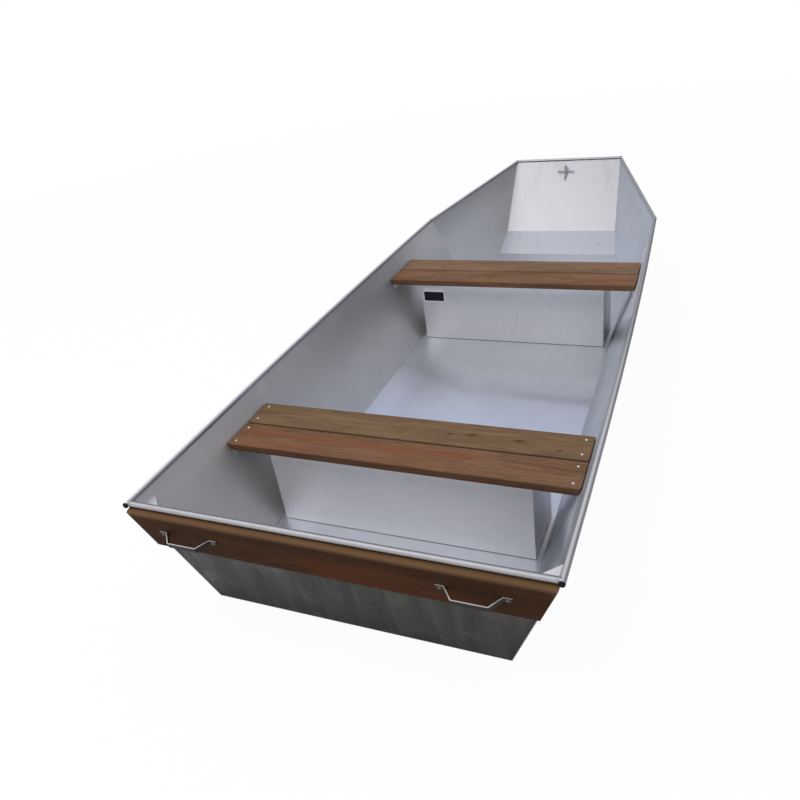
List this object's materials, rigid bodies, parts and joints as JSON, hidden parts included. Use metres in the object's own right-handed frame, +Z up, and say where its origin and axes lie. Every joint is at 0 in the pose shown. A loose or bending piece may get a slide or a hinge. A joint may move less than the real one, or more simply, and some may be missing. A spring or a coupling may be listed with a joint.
{
  "type": "flat-bottomed aluminium boat",
  "caption": "Open flat-bottomed aluminium boat with flared sides, a raised square bow, plank seats on closed boxes and a wooden transom board with lifting handles.",
  "frame": {"origin": "the point of the floor plane under the middle of the boat's bounding box, on the centre plane", "axes": "+X to the bow, +Y to port, +Z up, with the outside of the flat floor at Z = 0"},
  "size_m": [3.3184, 1.258, 0.488],
  "materials": {
    "hull_sheet": "mill finish sheet, satin",
    "transom_sheet": "mill finish sheet, dull and water marked",
    "rail_tube": "bare drawn tube, satin",
    "plug_plastic": "black moulded plastic",
    "gusset_sheet": "mill finish plate",
    "box_sheet": "mill finish sheet with fine upright brushing",
    "transom_wood": "dark stained and oiled",
    "seat_wood": "brown stained, semi-matte",
    "handle_steel": "zinc plated strip",
    "post_metal": "bare round bar"
  },
  "bodies": {
    "root": {"hull_bottom": "hull_sheet", "hull_side_port": "hull_sheet", "hull_side_starboard": "hull_sheet", "transom_plate": "transom_sheet", "rail_port": "rail_tube", "rail_starboard": "rail_tube", "rail_stern": "rail_tube", "rail_bow": "rail_tube", "rail_plug_port": "plug_plastic", "rail_plug_starboard": "plug_plastic", "gusset_port": "gusset_sheet", "gusset_starboard": "gusset_sheet", "transom_board": "transom_wood", "handle_port": "handle_steel", "handle_starboard": "handle_steel", "aft_box_wrap": "box_sheet", "aft_box_end_port": "box_sheet", "aft_box_end_starboard": "box_sheet", "aft_plank_aft": "seat_wood", "aft_plank_fwd": "seat_wood", "aft_bracket_port": "gusset_sheet", "aft_bracket_starboard": "gusset_sheet", "fore_box_wrap": "box_sheet", "fore_box_end_port": "box_sheet", "fore_box_end_starboard": "box_sheet", "fore_plank_aft": "seat_wood", "fore_plank_fwd": "seat_wood", "fore_bracket_port": "gusset_sheet", "fore_bracket_starboard": "gusset_sheet", "mooring_post": "post_metal", "mooring_pin": "post_metal"}
  },
  "joints": []
}
